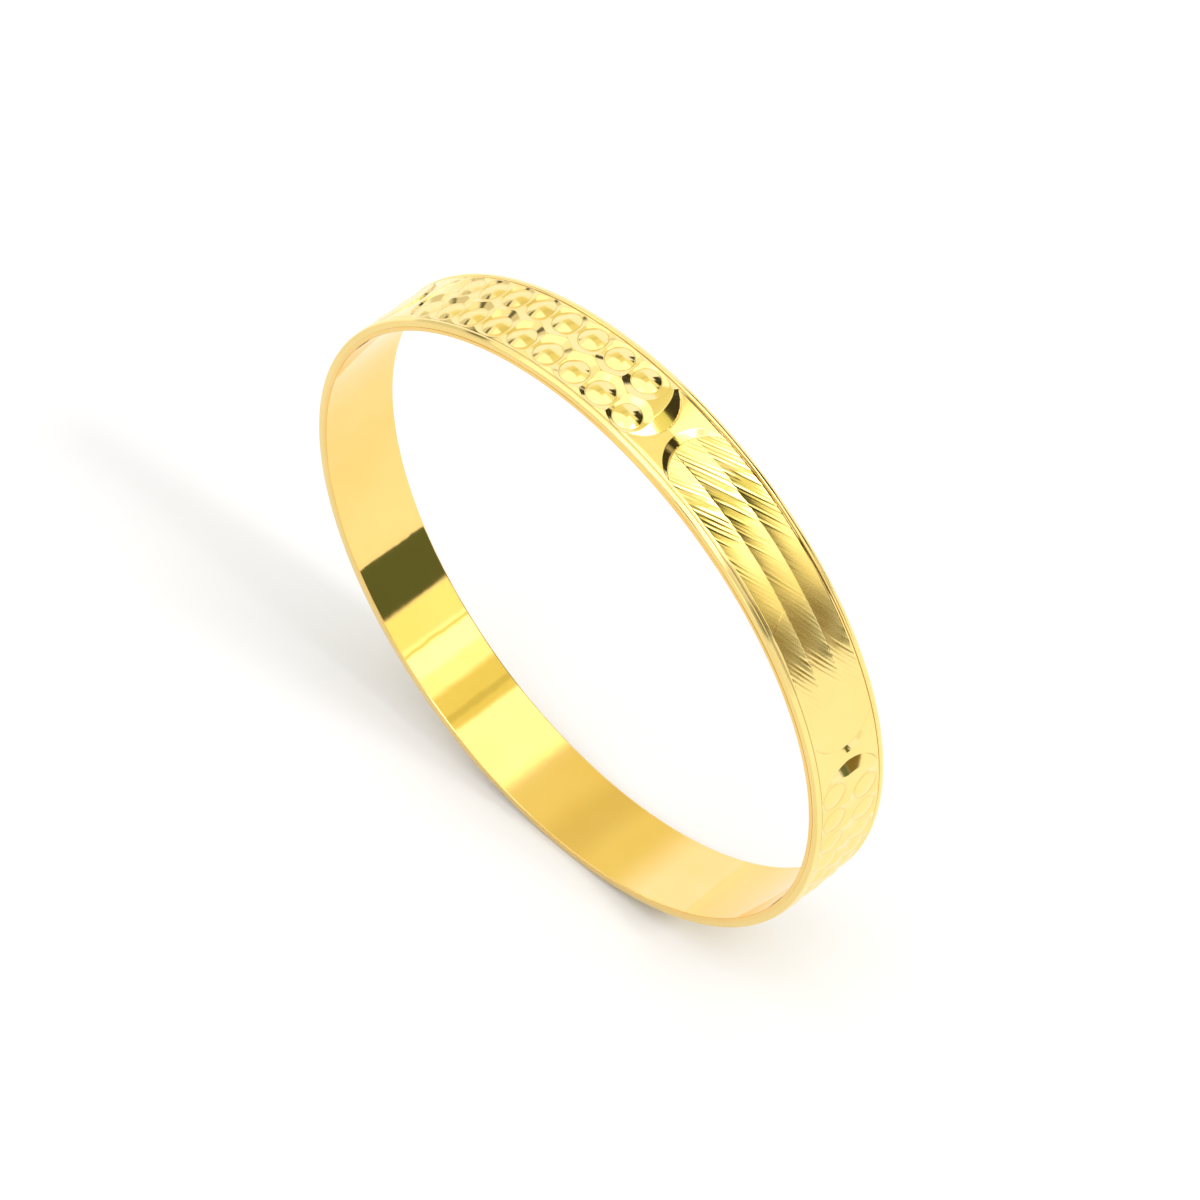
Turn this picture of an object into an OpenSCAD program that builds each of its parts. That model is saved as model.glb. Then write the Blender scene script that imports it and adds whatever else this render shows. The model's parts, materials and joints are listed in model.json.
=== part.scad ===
// Rigid bangle bracelet: a polished sleeve lines a patterned band, and a plain wire trims each edge.
// The bangle stands like a wheel: its axis is Y, and the origin is the centre of the wrist opening.
// Angles round the bangle run from +Z, the top, towards +X.

/* [Bangle] */
// Diameter of the wrist opening
opening_d = 58.7; // [50:0.1:72]
// Width of the bangle along its axis
band_w = 8; // [7.5:0.1:10]
// Wall from the wrist opening to the crests of the bosses
wall_t = 1.15; // [1.1:0.05:1.4]

/* [Construction] */
// Wall of the inner sleeve
sleeve_t = 0.4; // [0.3:0.05:0.45]
// Width of each edge wire along the axis
wire_w = 0.6; // [0.5:0.05:0.8]
// Bevel on the outer corner of each edge wire
wire_bevel = 0.15; // [0.05:0.05:0.2]
// How far the edge wires stand back from the ends of the sleeve
wire_setback = 0.06; // [0.02:0.02:0.1]
// Bevel on the corners of the sleeve at the wrist opening
sleeve_bevel = 0.1; // [0.05:0.05:0.15]
// Width of each solder seam along the circumference
seam_w = 0.12; // [0.08:0.02:0.3]

/* [Pattern] */
// Pairs of panels round the bangle, each pair one beaded and one brushed
panel_pairs = 3; // [2:1:3]
// Angle of the first divider, where a beaded panel gives way to a brushed one
divider_angle = 17.4; // [0:0.1:60]
// Share of each pair of panels that is beaded
bead_share = 0.49; // [0.48:0.01:0.52]
// Bosses in the longer row of a beaded panel
bosses_long = 9; // [5:1:9]
// Angle from one boss to the next
boss_pitch = 5.8; // [5.4:0.1:5.8]
// Distance of each row of bosses from the middle of the face
row_offset = 1.8; // [1.7:0.05:1.8]
// Outer diameter of the groove round each boss
groove_d = 2.7; // [2.2:0.1:2.8]
// Width of the groove round each boss
groove_w = 0.5; // [0.3:0.1:0.6]
// Depth of the groove round each boss
groove_depth = 0.25; // [0.1:0.05:0.3]
// Rise of each boss's blunt point above the face
boss_rise = 0.08; // [0.04:0.02:0.1]
// Flutes side by side along a brushed panel
flutes = 3; // [2:1:4]
// Depth of each flute
flute_depth = 0.08; // [0.04:0.02:0.1]
// Depth of the crescents cut beside each divider
crescent_depth = 0.28; // [0.1:0.02:0.3]

/* [Hidden] */
$fn = 96;

gold = [0.93, 0.72, 0.25];
solder = [0.88, 0.74, 0.38];

// Radii, from the wrist outwards
opening_r = opening_d / 2;
sleeve_r = opening_r + sleeve_t;
crest_r = opening_r + wall_t;
face_r = crest_r - boss_rise;
// The faces stand this far clear of each cutter
clear = 0.5;

// The band fills the width between the two wires
face_w = band_w - 2 * wire_w;
wire_out = band_w / 2 - wire_setback;
wire_in = face_w / 2;

// Round the bangle
pair_angle = 360 / panel_pairs;
bead_angle = bead_share * pair_angle;
brush_angle = pair_angle - bead_angle;
bosses_short = bosses_long - 1;
// Degrees of arc to a millimetre along the face
deg_per_mm = 180 / (PI * face_r);

// The arcs that close the panels at a divider end just short of the wires
arc_margin = 0.1;
arc_half = face_w / 2 - arc_margin;
// Bulge of the outer and the inner arc of the crescents at the end of each kind of panel
bead_arc_bulge = 2.45;
bead_cut_bulge = 1.25;
brush_arc_bulge = 3.05;
brush_cut_bulge = 2.1;
// Distance between the two outer arcs at the waist of a divider
waist_w = 0.75;

// Seams are turned away from each other, and the band's lies in the waist of a divider
sleeve_seam_angle = 318;
band_seam_angle = divider_angle + brush_angle + pair_angle;
front_seam_angle = 228;
back_seam_angle = 140;

// Radius of the arc that bulges by rise over half a chord
function arc_r(half, rise) = (half * half + rise * rise) / (2 * rise);

// Half the angle that a seam takes up at radius r
function seam_half(r) = seam_w / 2 / r * 180 / PI;

// Where bosses lie, counted from the middle of their row
function row_angles(count) = [for (i = [0:count - 1]) (i - (count - 1) / 2) * boss_pitch];

// Where every pair of panels has its divider, and the middle of its beaded and its brushed panel
dividers = [for (i = [0:panel_pairs - 1]) divider_angle + i * pair_angle];
bead_panels = [for (d = dividers) d - bead_angle / 2];
brush_panels = [for (d = dividers) d + brush_angle / 2];

// Turns a profile in radius and height along the axis into an arc of the bangle
module arc_of_ring(from, to) {
    rotate([-90, 0, 0])
        rotate([0, 0, from - 90])
            rotate_extrude(angle = to - from)
                children();
}

// A strip bent round to a ring that stops short of its solder seam
module open_ring(seam_angle, r) {
    arc_of_ring(seam_angle + seam_half(r), seam_angle + 360 - seam_half(r))
        children();
}

// The solder that closes the ring
module seam(seam_angle, r) {
    arc_of_ring(seam_angle - seam_half(r), seam_angle + seam_half(r))
        children();
}

// Puts a shape on the face, with its Z outwards and its Y along the bangle's axis
module on_face(angle, y = 0, r = face_r) {
    rotate([0, angle, 0])
        translate([0, y, r])
            children();
}

module sleeve_profile() {
    polygon([
        [opening_r, -band_w / 2 + sleeve_bevel],
        [opening_r + sleeve_bevel, -band_w / 2],
        [sleeve_r, -band_w / 2],
        [sleeve_r, band_w / 2],
        [opening_r + sleeve_bevel, band_w / 2],
        [opening_r, band_w / 2 - sleeve_bevel]
    ]);
}

module band_profile() {
    translate([sleeve_r, -face_w / 2])
        square([face_r - sleeve_r, face_w]);
}

module wire_profile() {
    polygon([
        [sleeve_r, wire_in],
        [face_r, wire_in],
        [face_r, wire_out - wire_bevel],
        [face_r - wire_bevel, wire_out],
        [sleeve_r, wire_out]
    ]);
}

// The V groove round one boss
module boss_groove() {
    mid_r = groove_d / 2 - groove_w / 2;
    slope = groove_w / 2 / groove_depth;
    rotate_extrude()
        polygon([
            [mid_r, -groove_depth],
            [mid_r + slope * (groove_depth + clear), clear],
            [mid_r - slope * (groove_depth + clear), clear]
        ]);
}

// The blunt point in the middle of one boss
module boss_point() {
    point_r = groove_d / 2 - groove_w;
    translate([0, 0, -boss_rise])
        cylinder(r1 = point_r, r2 = point_r / 3, h = 2 * boss_rise);
}

// Both rows of bosses of one panel: the shorter row is set back by half a pitch
module boss_rows(panel) {
    for (a = row_angles(bosses_long))
        on_face(panel + a, -row_offset) children();
    for (a = row_angles(bosses_short))
        on_face(panel + a, row_offset) children();
}

// A crescent between two arcs that share their ends; it bulges towards +X
module crescent(outer_bulge, inner_bulge) {
    outer_r = arc_r(arc_half, outer_bulge);
    inner_r = arc_r(arc_half, inner_bulge);
    translate([0, 0, -crescent_depth])
        linear_extrude(height = crescent_depth + clear)
            difference() {
                translate([-outer_r, 0]) circle(r = outer_r);
                translate([inner_bulge - outer_bulge - inner_r, 0]) circle(r = inner_r);
            }
}

// The two crescents that leave the hourglass of a divider between them. bead_side is 1 where the
// beaded panel comes before the divider and -1 where it comes after
module divider_cut(angle, bead_side) {
    half_waist = waist_w / 2 * deg_per_mm;
    on_face(angle - bead_side * half_waist)
        mirror([bead_side < 0 ? 1 : 0, 0, 0])
            crescent(bead_arc_bulge, bead_cut_bulge);
    on_face(angle + bead_side * half_waist)
        mirror([bead_side > 0 ? 1 : 0, 0, 0])
            crescent(brush_arc_bulge, brush_cut_bulge);
}

// The flutes of one brushed panel, stopped short of the crescents at its ends
module flute_cut(panel) {
    flute_w = face_w / flutes;
    flute_r = arc_r(flute_w / 2, flute_depth);
    half_angle = brush_angle / 2 - (waist_w / 2 + brush_arc_bulge) * deg_per_mm;
    for (i = [0:flutes - 1])
        arc_of_ring(panel - half_angle, panel + half_angle)
            translate([face_r - flute_depth + flute_r, (i - (flutes - 1) / 2) * flute_w])
                circle(r = flute_r);
}

module inner_sleeve() {
    color(gold)
        open_ring(sleeve_seam_angle, opening_r) sleeve_profile();
}

module sleeve_seam() {
    color(solder)
        seam(sleeve_seam_angle, opening_r) sleeve_profile();
}

module patterned_band() {
    color(gold)
        difference() {
            union() {
                difference() {
                    open_ring(band_seam_angle, sleeve_r) band_profile();
                    for (panel = bead_panels)
                        boss_rows(panel) boss_groove();
                }
                for (panel = bead_panels)
                    boss_rows(panel) boss_point();
            }
            for (d = dividers) {
                divider_cut(d, 1);
                divider_cut(d + brush_angle, -1);
            }
            for (panel = brush_panels)
                flute_cut(panel);
        }
}

module band_seam() {
    color(solder)
        seam(band_seam_angle, sleeve_r) band_profile();
}

module front_edge_wire() {
    color(gold)
        open_ring(front_seam_angle, sleeve_r) mirror([0, 1]) wire_profile();
}

module front_wire_seam() {
    color(solder)
        seam(front_seam_angle, sleeve_r) mirror([0, 1]) wire_profile();
}

module back_edge_wire() {
    color(gold)
        open_ring(back_seam_angle, sleeve_r) wire_profile();
}

module back_wire_seam() {
    color(solder)
        seam(back_seam_angle, sleeve_r) wire_profile();
}

inner_sleeve();
sleeve_seam();
patterned_band();
band_seam();
front_edge_wire();
front_wire_seam();
back_edge_wire();
back_wire_seam();
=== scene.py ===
import json
import math

import bpy
import numpy as np
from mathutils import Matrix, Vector


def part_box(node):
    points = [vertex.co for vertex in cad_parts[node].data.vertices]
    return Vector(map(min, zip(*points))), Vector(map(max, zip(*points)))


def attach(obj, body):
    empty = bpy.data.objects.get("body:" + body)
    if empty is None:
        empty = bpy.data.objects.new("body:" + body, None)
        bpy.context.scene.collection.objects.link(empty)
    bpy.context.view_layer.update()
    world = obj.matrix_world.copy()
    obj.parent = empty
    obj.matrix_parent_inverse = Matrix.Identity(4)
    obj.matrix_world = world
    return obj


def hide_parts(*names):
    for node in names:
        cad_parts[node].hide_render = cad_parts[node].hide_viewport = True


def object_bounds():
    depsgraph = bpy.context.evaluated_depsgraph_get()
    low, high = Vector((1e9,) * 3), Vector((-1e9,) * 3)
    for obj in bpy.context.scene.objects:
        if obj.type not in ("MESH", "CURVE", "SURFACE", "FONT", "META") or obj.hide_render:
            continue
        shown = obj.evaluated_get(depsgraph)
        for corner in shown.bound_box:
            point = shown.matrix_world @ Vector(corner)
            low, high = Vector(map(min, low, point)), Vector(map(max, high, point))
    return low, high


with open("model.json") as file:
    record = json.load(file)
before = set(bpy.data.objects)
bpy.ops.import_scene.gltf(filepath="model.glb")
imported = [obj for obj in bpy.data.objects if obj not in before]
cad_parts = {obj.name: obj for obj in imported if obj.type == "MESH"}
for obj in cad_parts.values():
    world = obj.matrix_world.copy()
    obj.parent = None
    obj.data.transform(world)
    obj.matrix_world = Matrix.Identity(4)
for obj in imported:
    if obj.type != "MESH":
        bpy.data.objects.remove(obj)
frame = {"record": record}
cad_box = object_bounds()

MM = 0.001

# ---------------------------------------------------------------- sizes, in mm, from the frame
mounts = {m["name"]: m for m in frame["record"]["mounts"]}
opening_r = mounts["wrist_opening"]["dims"]["r_mm"]


def box_mm(node):
    lo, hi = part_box(node)
    return lo / MM, hi / MM


half_w = box_mm("inner_sleeve")[1].y
sleeve_r = box_mm("inner_sleeve")[1].z
crest_r = box_mm("patterned_band")[1].z
face_half = box_mm("patterned_band")[1].y
face_r = box_mm("back_edge_wire")[1].z
wire_out = box_mm("back_edge_wire")[1].y

# ---------------------------------------------------------------- the pattern, in mm and degrees
# Panels: pairs of one beaded and one brushed panel, and the first divider, where beads give way to brushing
panel_pairs = 3
pair_angle = 360 / panel_pairs
bead_share = 0.49
bead_angle = bead_share * pair_angle
brush_angle = pair_angle - bead_angle
divider_angle = 17.4
mm_per_deg = math.pi * face_r / 180

# Bosses: round domes in the cups of a land that is a little higher than the face
bosses_long = 9
boss_step = 5.8
boss_pitch = boss_step * mm_per_deg
row_offset = 1.8
boss_r = 1.27
boss_rise = crest_r - face_r
dome_slope = 0.43
dome_round = 0.9
cup_slope = 0.36
land = 0.08

# Dividers: an hourglass between crescents, whose inner and outer arcs bulge as the pairs of numbers say
waist_w = 0.75
arc_half = 3.3
bead_bulges = (1.25, 2.45)
brush_bulges = (2.1, 3.05)
crescent_slope = 0.33
steep_crescent = 0.46
step_slope = 3.0
flare_slope = 0.035
flare_top = 0.02

# Brushed panels: flutes side by side, crossed by slow waves, V cuts and hair lines
flutes = 3
flute_depth = 0.04
stroke_angle = math.radians(31)
wave_pitch, wave_length, wave_depth = 1.1, 6.0, 0.036
cut_pitch, cut_length, cut_depth, cut_share = 0.36, 4.0, 0.021, 0.42
wander_pitch = 1.5
hair_pitch, hair_length, hair_depth = 0.15, 3.0, 0.008
ragged_edge, ragged_from = 0.12, 0.3
# Noise is read this far apart for each flute and for each row of cuts. A cut is missing where it is below
# cut_chance and whole where it is above
flute_shift = (29, 83)
row_shift = 5.37
cut_chance = (0.3, 0.8)
wave_seed, choice_seed, hair_seed, wander_seed = 0, 10, 20, 30
first_seed, panel_seeds = 7, 40
# Strokes grow, are full, fade and are gone at these places along the panel, from its middle
long_cluster = (-15.5, -14.0, -9.5, -2.5)
short_cluster = (4.3, 6.0, 7.6, 9.8)
faint_strokes, long_gain, short_gain = 0.2, 0.8, 0.6

# Both edges of the band
panel_drop = 0.02
rim_bevel = 0.3
rim_slope = 0.3

# Meshes: spacing of the panels' points, and the angles in degrees past which an edge is shaded sharp
grid = 0.05
ring_sharp, panel_sharp = 35, 55
sleeve_steps, wire_steps, seam_steps = 1440, 1080, 4

# Material: how sharp a fold gets full painted shade, how close to the end of a wire its side wall begins, and
# how deep the painted shade on that wall is
sharp_bend = 0.04
side_depth = 0.03
side_shade = 0.45
# Metal is satin up to the first cut and fully bright at the second. The strokes reach stroke_cut
satin_cut, bright_cut = 0.1, 1.0
stroke_cut = 0.7

# Solder seams
seam_w = 0.12
seam_proud = 0.004
sleeve_seam_angle = 318
band_seam_angle = divider_angle + brush_angle + pair_angle
front_seam_angle = 228
back_seam_angle = 140


def arc_radius(half, rise):
    return (half * half + rise * rise) / (2 * rise)


# ---------------------------------------------------------------- mesh building
def ring_point(angle, r, y):
    """Point at an angle from +Z towards +X, in metres."""
    return np.stack([r * np.sin(angle), y, r * np.cos(angle)], -1) * MM


def mesh_object(name, points, quads, sharp, attributes):
    """An object of quads. Edges past sharp degrees are sharp, and attributes are (name, values) pairs."""
    mesh = bpy.data.meshes.new(name)
    mesh.vertices.add(len(points))
    mesh.vertices.foreach_set("co", np.ascontiguousarray(points, np.float32).ravel())
    mesh.loops.add(quads.size)
    mesh.loops.foreach_set("vertex_index", np.ascontiguousarray(quads, np.int32).ravel())
    mesh.polygons.add(len(quads))
    mesh.polygons.foreach_set("loop_start", np.arange(0, quads.size, 4, dtype=np.int32))
    mesh.update(calc_edges=True)
    mesh.validate()
    mesh.polygons.foreach_set("use_smooth", np.ones(len(mesh.polygons), bool))
    mesh.set_sharp_from_angle(angle=math.radians(sharp))
    for key, values in attributes:
        kind, field = ("FLOAT_VECTOR", "vector") if values.ndim == 2 else ("FLOAT", "value")
        layer = mesh.attributes.new(key, kind, "POINT")
        layer.data.foreach_set(field, np.ascontiguousarray(values, np.float32).ravel())
    obj = bpy.data.objects.new(name, mesh)
    bpy.context.scene.collection.objects.link(obj)
    return obj


def grid_quads(rows, columns, first=0):
    """Quads of a grid of points counted row by row."""
    i, j = np.meshgrid(np.arange(rows - 1), np.arange(columns - 1), indexing="ij")
    a = first + i * columns + j
    return np.stack([a, a + columns, a + columns + 1, a + 1], -1).reshape(-1, 4)


def ring_strip(name, profile, start, end, steps):
    """Bends a closed profile of (radius, y) points round from start to end, in degrees, and caps its ends."""
    profile = np.array(profile, float)
    n = len(profile)
    angles = np.radians(np.linspace(start, end, steps + 1))
    a = np.repeat(angles, n)
    r = np.tile(profile[:, 0], steps + 1)
    y = np.tile(profile[:, 1], steps + 1)
    i, j = np.meshgrid(np.arange(steps), np.arange(n), indexing="ij")
    k = (j + 1) % n
    quads = np.stack([i * n + j, i * n + k, (i + 1) * n + k, (i + 1) * n + j], -1).reshape(-1, 4)
    half = n // 2
    caps = []
    for first, turn in ((0, 1), (steps * n, -1)):
        for m in range(half - 1):
            cap = [first + m, first + n - 1 - m, first + n - 2 - m, first + m + 1]
            caps.append(cap[::turn])
    quads = np.concatenate([quads, np.array(caps)])
    # The side walls near the ring's ends get painted shade, standing in for a darker reflection there, and
    # are satin rather than bright
    polished_unshaded = np.where(np.abs(y) > wire_out - side_depth, 0.0, 1.0)
    flow = np.stack([a * face_r, y, polished_unshaded], -1)
    attributes = [("flow_mm", flow), ("painted_shade", side_shade * (1 - polished_unshaded))]
    return mesh_object(name, ring_point(a, r, y), quads, ring_sharp, attributes)


def fold_shade(h):
    """Painted shade in a relief's folds: how sharply it folds inwards at each point, from 0 to 1, and full
    along its front and back edges, where the wires meet it.
    """
    bend = np.zeros_like(h)
    bend[1:-1] += h[2:] + h[:-2] - 2 * h[1:-1]
    bend[:, 1:-1] += h[:, 2:] + h[:, :-2] - 2 * h[:, 1:-1]
    bend = np.clip(bend / sharp_bend, 0, 1)
    bend[1:-1] = (bend[:-2] + 2 * bend[1:-1] + bend[2:]) / 4
    bend[:, 1:-1] = (bend[:, :-2] + 2 * bend[:, 1:-1] + bend[:, 2:]) / 4
    bend[:, [0, 1, -2, -1]] = 1
    return bend


def relief_panel(name, middle, angle, height, strength):
    """A panel of the band. Its outer side is height(x, y) above the face, x and y in mm from its middle, and
    strength(x, y) is how brightly it is cut, for its material."""
    columns = int(angle * mm_per_deg / grid) + 1
    rows = int(2 * face_half / grid) + 1
    x = np.linspace(-angle / 2, angle / 2, columns) * mm_per_deg
    y = np.linspace(-face_half, face_half, rows)
    xs, ys = np.meshgrid(x, y, indexing="ij")
    h = height(xs, ys)
    turn = np.radians(middle + xs / mm_per_deg)
    top = ring_point(turn, face_r + h, ys).reshape(-1, 3)
    under = np.stack([ring_point(turn[:, c], np.full(columns, sleeve_r), ys[:, c]) for c in (0, -1)], 1)
    under = under.reshape(-1, 3)
    base = len(top)
    quads = [grid_quads(columns, rows)]
    i = np.arange(columns - 1)
    front, back = i * rows, i * rows + rows - 1
    low, high = base + 2 * i, base + 2 * i + 1
    quads.append(np.stack([front, low, low + 2, front + rows], -1)[:, ::-1])
    quads.append(np.stack([back, high, high + 2, back + rows], -1))
    quads.append(np.stack([low, high, high + 2, low + 2], -1)[:, ::-1])
    points = [top, under]
    # The end faces: each row of the end has a point of its own below it
    for column, turn_over in ((0, False), (columns - 1, True)):
        first = base + sum(len(p) for p in points[1:])
        end = ring_point(turn[column, 1:-1], np.full(rows - 2, sleeve_r), ys[column, 1:-1])
        points.append(end)
        upper = column * rows + np.arange(rows)
        lower = np.concatenate([[base + 2 * column], first + np.arange(rows - 2), [base + 2 * column + 1]])
        face = np.stack([upper[:-1], upper[1:], lower[1:], lower[:-1]], -1)
        quads.append(face[:, ::-1] if turn_over else face)
    points = np.concatenate(points)
    flow = np.zeros((len(points), 3))
    flow[:base] = np.stack([xs + middle * mm_per_deg, ys, strength(xs, ys)], -1).reshape(-1, 3)
    # Painted shade in the relief's folds and along its front and back edges
    painted_shade = np.zeros(len(points))
    painted_shade[:base] = fold_shade(h).ravel()
    attributes = [("flow_mm", flow), ("painted_shade", painted_shade)]
    return mesh_object(name, points, np.concatenate(quads), panel_sharp, attributes)


def smooth(low, high, x):
    """0 below low, 1 above high and a smooth step between them."""
    t = np.clip((x - low) / (high - low), 0, 1)
    return t * t * (3 - 2 * t)


def lattice_noise(u, v, seed):
    """Smooth noise from 0 to 1 over a lattice of unit cells."""
    table = np.random.default_rng(seed).random((257, 257))
    i, j = np.floor(u).astype(int), np.floor(v).astype(int)
    fu, fv = u - i, v - j
    fu, fv = fu * fu * (3 - 2 * fu), fv * fv * (3 - 2 * fv)
    i, j = i % 256, j % 256
    near = table[i, j] * (1 - fu) + table[i + 1, j] * fu
    far = table[i, j + 1] * (1 - fu) + table[i + 1, j + 1] * fu
    return near * (1 - fv) + far * fv


# ---------------------------------------------------------------- relief of the band
def past_arc(e, y, apex, bulge):
    """How far a point lies beyond an arc, on the divider's side. e is the point's distance from the divider
    and apex the arc's. The arc's ends lie arc_half from the middle of the face."""
    r = arc_radius(arc_half, bulge)
    return np.hypot(np.minimum(e - apex - r, 0), y) - r


def past_arcs(x, y, angle, bulges):
    """How far a point of a panel lies beyond the inner and the outer arc of the nearest crescent."""
    e = angle / 2 * mm_per_deg - np.abs(x)
    inner = waist_w / 2 + bulges[1] - bulges[0]
    return past_arc(e, y, inner, bulges[0]), past_arc(e, y, waist_w / 2, bulges[1])


def flare(y):
    """The hourglass between the crescents, which rises to each edge."""
    return -flare_top - flare_slope * np.clip(arc_half - np.abs(y), 0, arc_half)


def rim(y):
    """The bevel along both edges of the band."""
    return rim_slope * (face_half - rim_bevel - np.abs(y)) - panel_drop


def bead_relief(x, y):
    """Height of a beaded panel: two rows of domes, each in a cup, between a crescent at either end."""
    drop = boss_rise - dome_slope * (math.hypot(boss_r, dome_round) - dome_round)
    h = np.full_like(x, land)
    for count, row in ((bosses_long, -row_offset), (bosses_long - 1, row_offset)):
        for k in range(count):
            rho = np.hypot(x - (k - (count - 1) / 2) * boss_pitch, y - row)
            dome = boss_rise - dome_slope * (np.hypot(rho, dome_round) - dome_round)
            wall = drop + cup_slope * (rho - boss_r)
            h = np.where(rho < boss_r, dome, np.minimum(h, wall))
    past_inner, past_outer = past_arcs(x, y, bead_angle, bead_bulges)
    wall = -np.where(x < 0, steep_crescent, crescent_slope) * past_inner
    step = np.minimum(flare(y), flare(y) + step_slope * past_outer)
    h = np.minimum(h, np.maximum(wall, step))
    return np.minimum(h, rim(y))


def in_brushed_body(x, y):
    """Where a brushed panel is fluted and stroked, between the inner arcs of the crescents at its ends."""
    past_inner = past_arcs(x, y, brush_angle, brush_bulges)[0]
    return (past_inner < 0) & (np.abs(y) < face_half - rim_bevel)


def cluster(x, grow, full, fade, gone):
    return smooth(grow, full, x) * (1 - smooth(fade, gone, x))


def stroke_strength(x):
    """Strokes are deep near the panel's start, in a short cluster further on, and faint elsewhere."""
    return faint_strokes + long_gain * cluster(x, *long_cluster) + short_gain * cluster(x, *short_cluster)


def beaded_strength(x, y):
    return np.full_like(x, bright_cut)


def brushed_strength(x, y):
    return np.where(in_brushed_body(x, y), stroke_cut * stroke_strength(x), bright_cut)


def stroke_axes(x, y):
    """Distances along and across the strokes."""
    return (x * math.cos(stroke_angle) + y * math.sin(stroke_angle),
            y * math.cos(stroke_angle) - x * math.sin(stroke_angle))


def lane_place(x, y):
    """Which flute a point is in, counted from the front, and how far it is from the middle of the flute. The
    strokes leave the border between two flutes ragged."""
    across = stroke_axes(x, y)[1]
    ragged = ragged_edge * np.abs((across / cut_pitch) % 1 - 0.5) * smooth(0, ragged_from, stroke_strength(x))
    flute_w = 2 * face_half / flutes
    lane = np.clip(np.floor((y + face_half + ragged) / flute_w), 0, flutes - 1)
    return lane, np.clip(y + face_half - (lane + 0.5) * flute_w, -flute_w / 2, flute_w / 2)


def stroke_relief(x, y, seed):
    """Oblique strokes: slow waves, V cuts that are left out here and there, and hair lines, different in each
    flute."""
    lane = lane_place(x, y)[0]
    along, across = stroke_axes(x, y)
    h = np.zeros_like(x)
    for k in range(flutes):
        u, v = across + flute_shift[0] * k, along + flute_shift[1] * k
        wave = lattice_noise(u / wave_pitch, v / wave_length, seed + wave_seed + k)
        wander = lattice_noise(u / wander_pitch, v / cut_length, seed + wander_seed + k)
        place = np.abs((u / cut_pitch + wander) % 1 - 0.5)
        row = np.floor(u / cut_pitch + wander)
        chosen = smooth(*cut_chance, lattice_noise(row * row_shift, v / cut_length, seed + choice_seed + k))
        cut = chosen * smooth(0, 1, 1 - place / cut_share)
        hair = lattice_noise(u / hair_pitch, v / hair_length, seed + hair_seed + k)
        depth = wave_depth * wave + cut_depth * cut + hair_depth * hair
        h = np.where(lane == k, -depth, h)
    return h * stroke_strength(x)


def brush_relief(seed):
    """The height of a brushed panel, as a function: strokes over flutes, between a crescent at either end."""
    def relief(x, y):
        r = arc_radius(face_half / flutes, flute_depth)
        flute = np.sqrt(r * r - lane_place(x, y)[1] ** 2) - (r - flute_depth)
        body = -panel_drop - flute + stroke_relief(x, y, seed)
        past_inner, past_outer = past_arcs(x, y, brush_angle, brush_bulges)
        wall = flare(y) + crescent_slope * past_outer
        side = body - step_slope * np.maximum(0, past_inner)
        h = np.maximum(np.minimum(flare(y), wall), side)
        return np.minimum(h, rim(y))
    return relief


# ---------------------------------------------------------------- materials
class Nodes:
    """Short calls that add and join shader nodes."""

    def __init__(self, tree):
        self.tree = tree
        tree.nodes.clear()

    def add(self, kind, inputs=None, **settings):
        node = self.tree.nodes.new(kind)
        for key, value in settings.items():
            setattr(node, key, value)
        for key, value in (inputs or {}).items():
            if isinstance(value, bpy.types.NodeSocket):
                self.tree.links.new(value, node.inputs[key])
            else:
                node.inputs[key].default_value = value
        return node

    def math(self, operation, a, b):
        return self.add("ShaderNodeMath", {0: a, 1: b}, operation=operation).outputs[0]

    def span(self, value, low, high, to_low=0.0, to_high=1.0, soft=False):
        """Carries low to high over to another span, and holds the ends."""
        kind = "SMOOTHSTEP" if soft else "LINEAR"
        keys = {"Value": value, "From Min": low, "From Max": high, "To Min": to_low, "To Max": to_high}
        return self.add("ShaderNodeMapRange", keys, interpolation_type=kind, clamp=True).outputs[0]

    def mix(self, factor, a, b):
        """Colour a where factor is 0 and b where it is 1."""
        node = self.add("ShaderNodeMix", data_type="RGBA")
        for socket, value in ((node.inputs[0], factor), (node.inputs[6], a), (node.inputs[7], b)):
            if isinstance(value, bpy.types.NodeSocket):
                self.tree.links.new(value, socket)
            else:
                socket.default_value = value
        return node.outputs[2]


GOLD = (1.0, 0.70, 0.24, 1)
# A paler copy of GOLD for the band and its wires: painted light, standing in for the brighter look of the
# outer band
GOLD_BAND_LIT = (1.0, 0.78, 0.30, 1)
GOLD_SOLDER = (1.0, 0.79, 0.42, 1)
# Painted shade: the darker gold painted into creases, along the panels' edges and on the side walls, and how
# much of it shows there; and what the plate's cloudy patches multiply its colour by
GOLD_SHADED = (0.56, 0.38, 0.12, 1)
SHADE_AMOUNT = 0.85
DEEPER = (0.98, 0.95, 0.85, 1)
# Roughness where the metal is neither cut nor polished, and how far fine marks vary every roughness
SATIN = 0.24
SMEAR = (0.88, 1.12)


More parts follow.
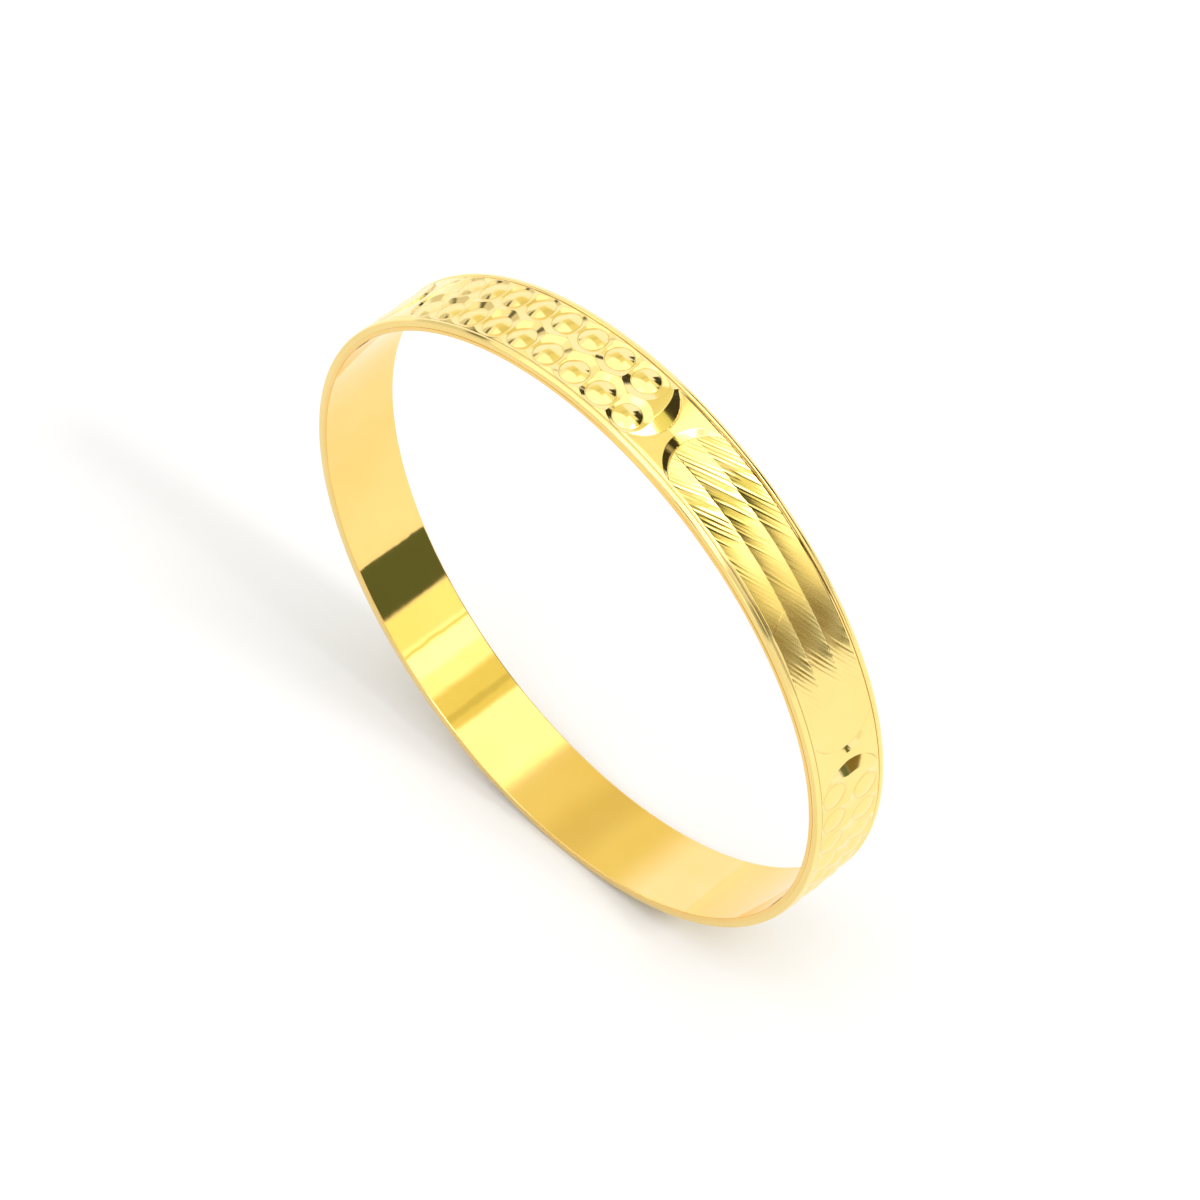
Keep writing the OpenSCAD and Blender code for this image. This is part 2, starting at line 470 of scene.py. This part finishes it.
def gold_material(name, roughness, scratches, waves, base=GOLD):
    """Gold plate, with painted shade in its creases, along the panels' edges and on the side walls. roughness
    is that of bright metal, scratches the depth of fine marks and waves that of slow ripples, in mm. On the
    brushed gold the marks lie along the strokes."""
    material = bpy.data.materials.new(name)
    material.use_nodes = True
    n = Nodes(material.node_tree)
    flow = n.add("ShaderNodeAttribute", attribute_name="flow_mm").outputs["Vector"]
    place = n.add("ShaderNodeTexCoord").outputs["Object"]

    cloud = n.add("ShaderNodeTexNoise", {"Vector": place, "Scale": 140.0, "Detail": 3.0}).outputs["Fac"]
    deeper = tuple(c * d for c, d in zip(base, DEEPER))
    tint_and_shade = n.mix(n.span(cloud, 0.35, 0.7), base, deeper)
    # Painted shade: darker gold mixed in where the mesh's shade attribute says, in folds, along panel edges
    # and on side walls
    painted_shade = n.add("ShaderNodeAttribute", attribute_name="painted_shade").outputs["Fac"]
    tint_and_shade = n.mix(n.math("MULTIPLY", painted_shade, SHADE_AMOUNT), tint_and_shade, GOLD_SHADED)

    lie = (0, 0, stroke_angle if name == "brushed_gold" else 0.0)
    along = n.add("ShaderNodeMapping", {"Vector": flow, "Rotation": lie}, vector_type="TEXTURE").outputs[0]
    hair = n.add("ShaderNodeMapping", {"Vector": along, "Scale": (0.3, 6.0, 0.0)}).outputs[0]
    marks = n.add("ShaderNodeTexNoise", {"Vector": hair, "Scale": 1.0, "Detail": 3.0}).outputs["Fac"]
    cut = n.add("ShaderNodeSeparateXYZ", {0: flow}).outputs["Z"]
    smear = n.span(marks, 0.3, 0.7, *SMEAR)
    rough = n.math("MULTIPLY", n.span(cut, satin_cut, bright_cut, SATIN, roughness), smear)
    ripple = n.add("ShaderNodeTexNoise", {"Vector": flow, "Scale": 0.55, "Detail": 1.0}).outputs["Fac"]
    heights = n.math("ADD", n.math("MULTIPLY", marks, scratches), n.math("MULTIPLY", ripple, waves))
    bump = n.add("ShaderNodeBump", {"Height": heights, "Distance": MM, "Strength": 1.0}).outputs[0]
    shader = n.add("ShaderNodeBsdfPrincipled", {
        "Base Color": tint_and_shade, "Metallic": 1.0, "Roughness": rough, "Normal": bump})
    n.add("ShaderNodeOutputMaterial", {"Surface": shader.outputs[0]})
    return material


sleeve_gold = gold_material("sleeve_gold", 0.05, 0.0006, 0.006)
facet_gold = gold_material("facet_gold", 0.09, 0.0015, 0.004, base=GOLD_BAND_LIT)
brushed_gold = gold_material("brushed_gold", 0.07, 0.004, 0.002, base=GOLD_BAND_LIT)
wire_gold = gold_material("wire_gold", 0.10, 0.0015, 0.004, base=GOLD_BAND_LIT)
solder_gold = gold_material("solder_gold", 0.18, 0.002, 0.004, base=GOLD_SOLDER)


# ---------------------------------------------------------------- pieces
def finish_piece(obj, material, node):
    """Gives a piece its material and body, and hides the CAD node it stands for."""
    obj.data.materials.append(material)
    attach(obj, "root")
    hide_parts(node)


def corner(cr, cy, r, start, end, steps=4):
    """Points of a rounded corner of a profile, angles from +r towards +y."""
    turn = np.radians(np.linspace(start, end, steps + 1))
    return [(cr + r * math.cos(t), cy + r * math.sin(t)) for t in turn]


def sleeve_profile():
    """Rounded corners, with a point close to each so that the walls between them are shaded flat."""
    bevel, outer = 0.1, 0.03
    flat = 0.05
    near = [(opening_r, -half_w + bevel + flat)] + corner(opening_r + bevel, -half_w + bevel, bevel, 180, 270)
    near += corner(sleeve_r - outer, -half_w + outer, outer, 270, 360) + [(sleeve_r, -half_w + outer + flat)]
    return near + [(r, -y) for r, y in near[::-1]]


def wire_profile(side):
    """The lip of an edge wire: a rounded flank towards the pattern, a narrow top and a long bevel outside."""
    inner = [(sleeve_r, face_half), (face_r - 0.2, face_half), (face_r - 0.07, face_half + 0.03),
             (face_r - 0.015, face_half + 0.08), (face_r, face_half + 0.13)]
    outer = [(face_r, face_half + 0.2), (face_r - 0.1, wire_out - 0.05), (face_r - 0.13, wire_out - 0.015),
             (face_r - 0.17, wire_out), (sleeve_r, wire_out)]
    return [(r, side * y) for r, y in inner + outer][::side]


def ring_and_seam(names, profile, seam_angle, r, steps, material):
    """A strip bent round to a ring, and the solder that closes it, seam_w wide at the radius r."""
    half = math.degrees(seam_w / 2 / r)
    ring = ring_strip(names[0] + "_body", profile, seam_angle + half, seam_angle + 360 - half, steps)
    finish_piece(ring, material, names[0])
    seam = ring_strip(names[1] + "_fill", profile, seam_angle - half, seam_angle + half, seam_steps)
    finish_piece(seam, solder_gold, names[1])


ring_and_seam(("inner_sleeve", "sleeve_seam"), sleeve_profile(), sleeve_seam_angle, opening_r,
              sleeve_steps, sleeve_gold)
ring_and_seam(("front_edge_wire", "front_wire_seam"), wire_profile(-1), front_seam_angle, sleeve_r,
              wire_steps, wire_gold)
ring_and_seam(("back_edge_wire", "back_wire_seam"), wire_profile(1), back_seam_angle, sleeve_r,
              wire_steps, wire_gold)

for i in range(panel_pairs):
    divider = divider_angle + i * pair_angle
    middle = divider - bead_angle / 2
    piece = relief_panel(f"beaded_panel_{i + 1}", middle, bead_angle, bead_relief, beaded_strength)
    finish_piece(piece, facet_gold, "patterned_band")
    middle = divider + brush_angle / 2
    relief = brush_relief(panel_seeds * i + first_seed)
    piece = relief_panel(f"brushed_panel_{i + 1}", middle, brush_angle, relief, brushed_strength)
    finish_piece(piece, brushed_gold, "patterned_band")

# The band's solder lies in the waist of a divider, a little proud of the panels that meet there
seam_half = math.degrees(seam_w / 2 / sleeve_r)
waist = face_r + flare(0.0)
rim_drop = rim_slope * rim_bevel + panel_drop
profile = [(sleeve_r, -face_half), (face_r - rim_drop, -face_half), (face_r - flare_top, -arc_half),
           (waist, -waist_w / 2), (waist, waist_w / 2), (face_r - flare_top, arc_half),
           (face_r - rim_drop, face_half), (sleeve_r, face_half)]
profile = [(r + seam_proud, y) for r, y in profile]
seam_start, seam_end = band_seam_angle - seam_half, band_seam_angle + seam_half
band_fill = ring_strip("band_seam_fill", profile, seam_start, seam_end, seam_steps)
finish_piece(band_fill, solder_gold, "band_seam")

# ---------------------------------------------------------------- floor, in metres
floor_half = 3.0
ground = cad_box[0].z
corners = [(-1, -1), (1, -1), (1, 1), (-1, 1)]
floor_mesh = bpy.data.meshes.new("floor")
floor_mesh.from_pydata([(x * floor_half, y * floor_half, ground) for x, y in corners], [], [(0, 1, 2, 3)])
floor = bpy.data.objects.new("floor", floor_mesh)
bpy.context.scene.collection.objects.link(floor)
PAPER = (0.715, 0.715, 0.72, 1)
PAPER_GRAIN = (0.725, 0.725, 0.73, 1)
paper = bpy.data.materials.new("white_paper")
paper.use_nodes = True
n = Nodes(paper.node_tree)
grain = n.add("ShaderNodeTexNoise", {"Scale": 60.0, "Detail": 4.0}).outputs["Fac"]
tone = n.mix(n.span(grain, 0.3, 0.7), PAPER, PAPER_GRAIN)
shader = n.add("ShaderNodeBsdfPrincipled", {"Base Color": tone, "Roughness": 0.9, "Specular IOR Level": 0.0})
n.add("ShaderNodeOutputMaterial", {"Surface": shader.outputs[0]})
floor_mesh.materials.append(paper)

# ---------------------------------------------------------------- studio: soft boxes and dark cards all round
world = bpy.data.worlds.new("studio")
bpy.context.scene.world = world
world.use_nodes = True
n = Nodes(world.node_tree)
direction = n.add("ShaderNodeTexCoord").outputs["Generated"]
split = n.add("ShaderNodeSeparateXYZ", {0: direction}).outputs
turn = n.math("ARCTAN2", split["X"], split["Z"])
turn = n.math("MULTIPLY", turn, 180 / math.pi)
lean = split["Y"]


def between(value, low, high, soft):
    """1 from low to high, with soft ends."""
    rise = n.span(value, low - soft, low + soft, soft=True)
    fall = n.span(value, high - soft, high + soft, 1, 0, soft=True)
    return n.math("MULTIPLY", rise, fall)


def card(u0, u1, v0, v1, soft_u, soft_v):
    """1 inside a card, which spans u0 to u1 degrees round the bangle's axis, from +Z towards +X, and v0 to v1
    in the Y part of a direction."""
    return n.math("MULTIPLY", between(turn, u0, u1, soft_u), between(lean, v0, v1, soft_v))


def grey(level):
    return (level, level, level, 1)


# The light where there is no card, and the tone of a dark card
SKY = (1.13, 1.15, 1.38, 1)
DARK = (0.045, 0.04, 0.025, 1)
# u0, u1, v0, v1, softness round, softness along, colour. A card covers those before it
CARDS = [
    # Beyond the bangle as the camera sees it, and above: what its faces, facets and inner wall reflect
    (-60, 1, 0.25, 0.62, 10, 0.05, (0.91, 0.87, 0.53, 1)),
    (-38, -22, 0.25, 0.62, 6, 0.05, (0.80, 0.74, 0.43, 1)),
    (-5, 25, 0.48, 0.72, 2, 0.02, (1.0, 1.0, 0.75, 1)),
    (0, 25, 0.28, 0.50, 4, 0.02, (2.1, 2.0, 1.6, 1)),
    (25, 40.5, 0.36, 0.62, 1, 0.03, (0.9, 0.9, 0.43, 1)),
    (38.5, 57, 0.36, 0.455, 1.5, 0.01, (1.6, 1.5, 1.2, 1)),
    (46, 57, 0.36, 0.455, 1.5, 0.01, (2.4, 2.2, 1.9, 1)),
    (28, 30.5, 0.36, 0.455, 0.6, 0.01, (0.72, 0.70, 0.30, 1)),
    (54.5, 56, 0.36, 0.455, 0.5, 0.01, (0.95, 0.95, 0.5, 1)),
    (40.5, 57, 0.455, 0.60, 2, 0.01, (1.15, 1.1, 0.65, 1)),
    (57, 70, 0.2, 0.455, 2, 0.01, (1.35, 1.27, 0.85, 1)),
    (57, 67, 0.455, 0.80, 3, 0.01, (0.85, 0.75, 0.36, 1)),
    (-45, 30, -0.6, 0.24, 6, 0.04, grey(1.4)),
    (-8, 45, -0.6, -0.05, 5, 0.05, grey(2.4)),
    (24, 40, 0.1, 0.39, 2, 0.012, grey(4.8)),
    (0, 24, 0.70, 0.875, 3, 0.01, DARK),
    (22, 64, 0.56, 0.845, 2, 0.01, DARK),
    (24, 42, 0.80, 0.93, 2, 0.01, DARK),
    (36, 44, 0.69, 0.75, 2, 0.012, (0.45, 0.40, 0.30, 1)),
    (-20, 2, 0.775, 0.875, 3, 0.01, DARK),
    (70, 97, 0.36, 0.455, 1, 0.01, (0.114, 0.146, 0.077, 1)),
    (67, 97, 0.455, 0.72, 3, 0.01, (0.22, 0.16, 0.05, 1)),
    (62, 92, 0.835, 0.90, 1, 0.01, DARK),
    # The sides of the room, which the bangle's own sides reflect
    (-97, -70, -0.30, 0.22, 4, 0.04, grey(0.75)),
    (-70, -58, -0.30, 0.22, 3, 0.04, grey(0.6)),
    (-68, -60, -0.05, 0.15, 2, 0.03, grey(0.15)),
    (-58, -45, -0.30, 0.22, 3, 0.04, grey(1.1)),
    (45, 58, -0.45, 0.20, 3, 0.04, grey(0.8)),
    (58, 72, -0.45, 0.20, 3, 0.04, grey(0.5)),
    (60, 70, -0.05, 0.15, 2, 0.03, grey(0.15)),
    (72, 97, -0.45, 0.20, 3, 0.04, grey(0.95)),
    # Behind the camera: what the bangle reflects when it is seen from the other side
    (-97, 97, -1.1, -0.45, 1, 0.06, grey(0.9)),
    (-60, -48, -0.92, -0.45, 4, 0.05, grey(2.0)),
    (-40, -26, -0.92, -0.45, 5, 0.05, grey(0.5)),
    (-14, 8, -0.92, -0.45, 3, 0.05, grey(2.4)),
    (20, 31, -0.92, -0.45, 2, 0.05, grey(0.12)),
    (50, 66, -0.92, -0.45, 5, 0.05, grey(1.7)),
]
light = SKY
for *area, colour in CARDS:
    light = n.mix(card(*area), light, colour)
seen = n.add("ShaderNodeLightPath").outputs["Is Camera Ray"]
light = n.mix(seen, light, grey(1.0))
background = n.add("ShaderNodeBackground", {"Color": light, "Strength": 1.0}).outputs[0]
n.add("ShaderNodeOutputWorld", {"Surface": background})


def towards(azimuth, elevation):
    """Unit direction, azimuth 0 at -Y and 90 at +X."""
    a, e = math.radians(azimuth), math.radians(elevation)
    return Vector((math.sin(a) * math.cos(e), -math.cos(a) * math.cos(e), math.sin(e)))


key = bpy.data.lights.new("key", "SUN")
key.energy = 1.25
key.angle = math.radians(11)
key_lamp = bpy.data.objects.new("key", key)
key_lamp.rotation_mode = "QUATERNION"
key_lamp.rotation_quaternion = towards(93, 43).to_track_quat("Z", "Y")
# It makes the shadow. The gold reflects the soft boxes only, so that no glare burns out its sides
key_lamp.visible_glossy = False
bpy.context.scene.collection.objects.link(key_lamp)

# ---------------------------------------------------------------- camera, in radii of the bangle
camera = bpy.data.cameras.new("camera")
camera.sensor_width = 36
camera.lens = 143.4
camera.clip_start = 0.01
camera_object = bpy.data.objects.new("camera", camera)
bpy.context.scene.collection.objects.link(camera_object)
bpy.context.scene.camera = camera_object
back = towards(45.70, 49.48)
right = Vector((0, 0, 1)).cross(back).normalized()
up = back.cross(right)
radius = (crest_r + face_r) / 2 * MM
away, aside, above = 13.347, 0.0201, 0.0163
camera_object.location = (away * back + aside * right + above * up) * radius
camera_object.rotation_mode = "QUATERNION"
camera_object.rotation_quaternion = back.to_track_quat("Z", "Y")

bpy.context.scene.view_settings.view_transform = "Standard"
